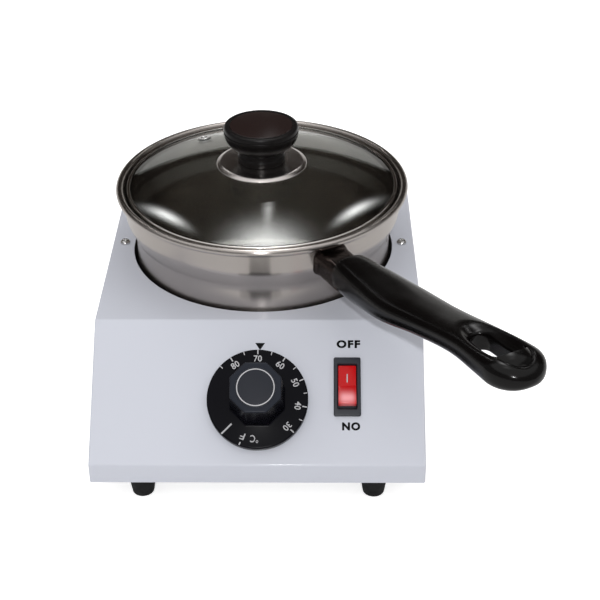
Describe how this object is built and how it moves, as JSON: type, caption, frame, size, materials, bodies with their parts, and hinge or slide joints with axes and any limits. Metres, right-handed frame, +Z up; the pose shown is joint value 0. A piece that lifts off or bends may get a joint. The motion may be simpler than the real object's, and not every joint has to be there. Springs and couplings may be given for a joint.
{
  "type": "electric chocolate melting pot",
  "caption": "Electric chocolate melting pot: sloped-front white housing with thermostat dial and rocker switch, lift-out steel pan with handle, glass lid.",
  "frame": {"origin": "on the pan's vertical axis, in the plane of the base plate's underside; the rubber feet reach 12.8 mm below it", "axes": "+Z up, out through the lid knob; -Y towards the user and the control panel; +X to the user's right"},
  "size_m": [0.2148, 0.3093, 0.149],
  "materials": {
    "enamel": "semi-gloss white powder coat on steel sheet",
    "zinc_sheet": "dull galvanised sheet",
    "zinc_screw": "bright zinc plate",
    "bright_screw": "nickel plate",
    "foot_rubber": "matte black rubber",
    "well_metal": "spun aluminium, satin",
    "felt": "ceramic-fibre insulation, fuzzy off-white",
    "heater_tube": "heat-tinted steel sheath",
    "copper_like": "drawn copper",
    "cutout_black": "moulded phenolic",
    "ceramic": "cream heat-proof moulding",
    "brass_parts": "turned and stamped brass",
    "shaft_steel": "ground steel",
    "bezel": "dark slate nylon, light gloss",
    "gland_black": "moulded nylon",
    "wire_brown": "brown insulation",
    "wire_black": "black insulation",
    "wire_glass": "glass-fibre sleeve",
    "wire_blue": "blue insulation",
    "wire_green": "green insulation",
    "dial": "black phenolic with white print",
    "badge": "dark disc with a printed ring",
    "rocker": "translucent red",
    "pan_steel": "mirror-polished stainless steel",
    "ferrule_steel": "lengthwise-brushed stainless steel",
    "grip": "black phenolic, polished",
    "lid_glass": "clear tempered glass with a faint green tint",
    "lid_steel": "rolled stainless strip, satin",
    "knob_cap": "brownish-black disc with fine diagonal lines"
  },
  "bodies": {
    "housing": {"housing_front": "enamel", "housing_deck": "enamel", "housing_back": "enamel", "housing_sides": "enamel", "base_plate": "zinc_sheet", "base_screws": "zinc_screw", "foot_front_left": "foot_rubber", "foot_front_right": "foot_rubber", "foot_rear_left": "foot_rubber", "foot_rear_right": "foot_rubber", "foot_screws": "zinc_screw", "foot_nuts": "zinc_screw", "heating_well": "well_metal", "well_screws": "bright_screw", "well_nuts": "zinc_screw", "insulation_band": "felt", "heating_element": "heater_tube", "element_strap": "zinc_sheet", "strap_nut": "zinc_screw", "sensor_bulb": "copper_like", "bulb_clip": "zinc_sheet", "capillary_tube": "copper_like", "thermal_cutout": "cutout_black", "cutout_nuts": "zinc_screw", "thermostat_body": "ceramic", "thermostat_bracket": "zinc_sheet", "shaft_bush": "brass_parts", "thermostat_screws": "bright_screw", "switch_body": "bezel", "switch_terminals": "brass_parts", "terminal_block": "ceramic", "terminal_screws": "brass_parts", "earth_stud": "zinc_screw", "earth_nut": "brass_parts", "gland_body": "gland_black", "gland_cap": "gland_black", "gland_nut": "gland_black", "wire_live": "wire_brown", "wire_switched": "wire_black", "wire_heater": "wire_glass", "wire_cutout": "wire_black", "wire_neutral": "wire_blue", "wire_earth": "wire_green"},
    "pot": {"pan": "pan_steel", "handle_bracket": "ferrule_steel", "handle_ferrule": "ferrule_steel", "handle_grip": "grip", "handle_screw": "bright_screw"},
    "lid": {"lid_glass": "lid_glass", "lid_rim": "lid_steel", "lid_vent": "bright_screw", "lid_plate": "pan_steel", "lid_knob": "grip", "lid_knob_cap": "knob_cap", "lid_screw": "bright_screw", "lid_washer": "bright_screw"},
    "dial": {"thermostat_shaft": "shaft_steel", "control_knob": "dial", "knob_badge": "badge"},
    "rocker": {"switch_rocker": "rocker"}
  },
  "joints": [
    {"name": "pot_lift", "type": "slide", "parent": "housing", "child": "pot", "axis": [0, 0, 1], "range_m": [0, 0.06]},
    {"name": "lid_lift", "type": "slide", "parent": "pot", "child": "lid", "axis": [0, 0, 1], "range_m": [0, 0.04]},
    {"name": "dial_turn", "type": "hinge", "parent": "housing", "child": "dial", "pos_m": [0, -0.1138, 0.03323], "axis": [0, -0.663, 0.7486], "range_deg": [-48, 226]},
    {"name": "rocker_press", "type": "hinge", "parent": "housing", "child": "rocker", "pos_m": [0.0461, -0.1069, 0.03667], "axis": [1, 0, 0], "range_deg": [0, 22]}
  ]
}
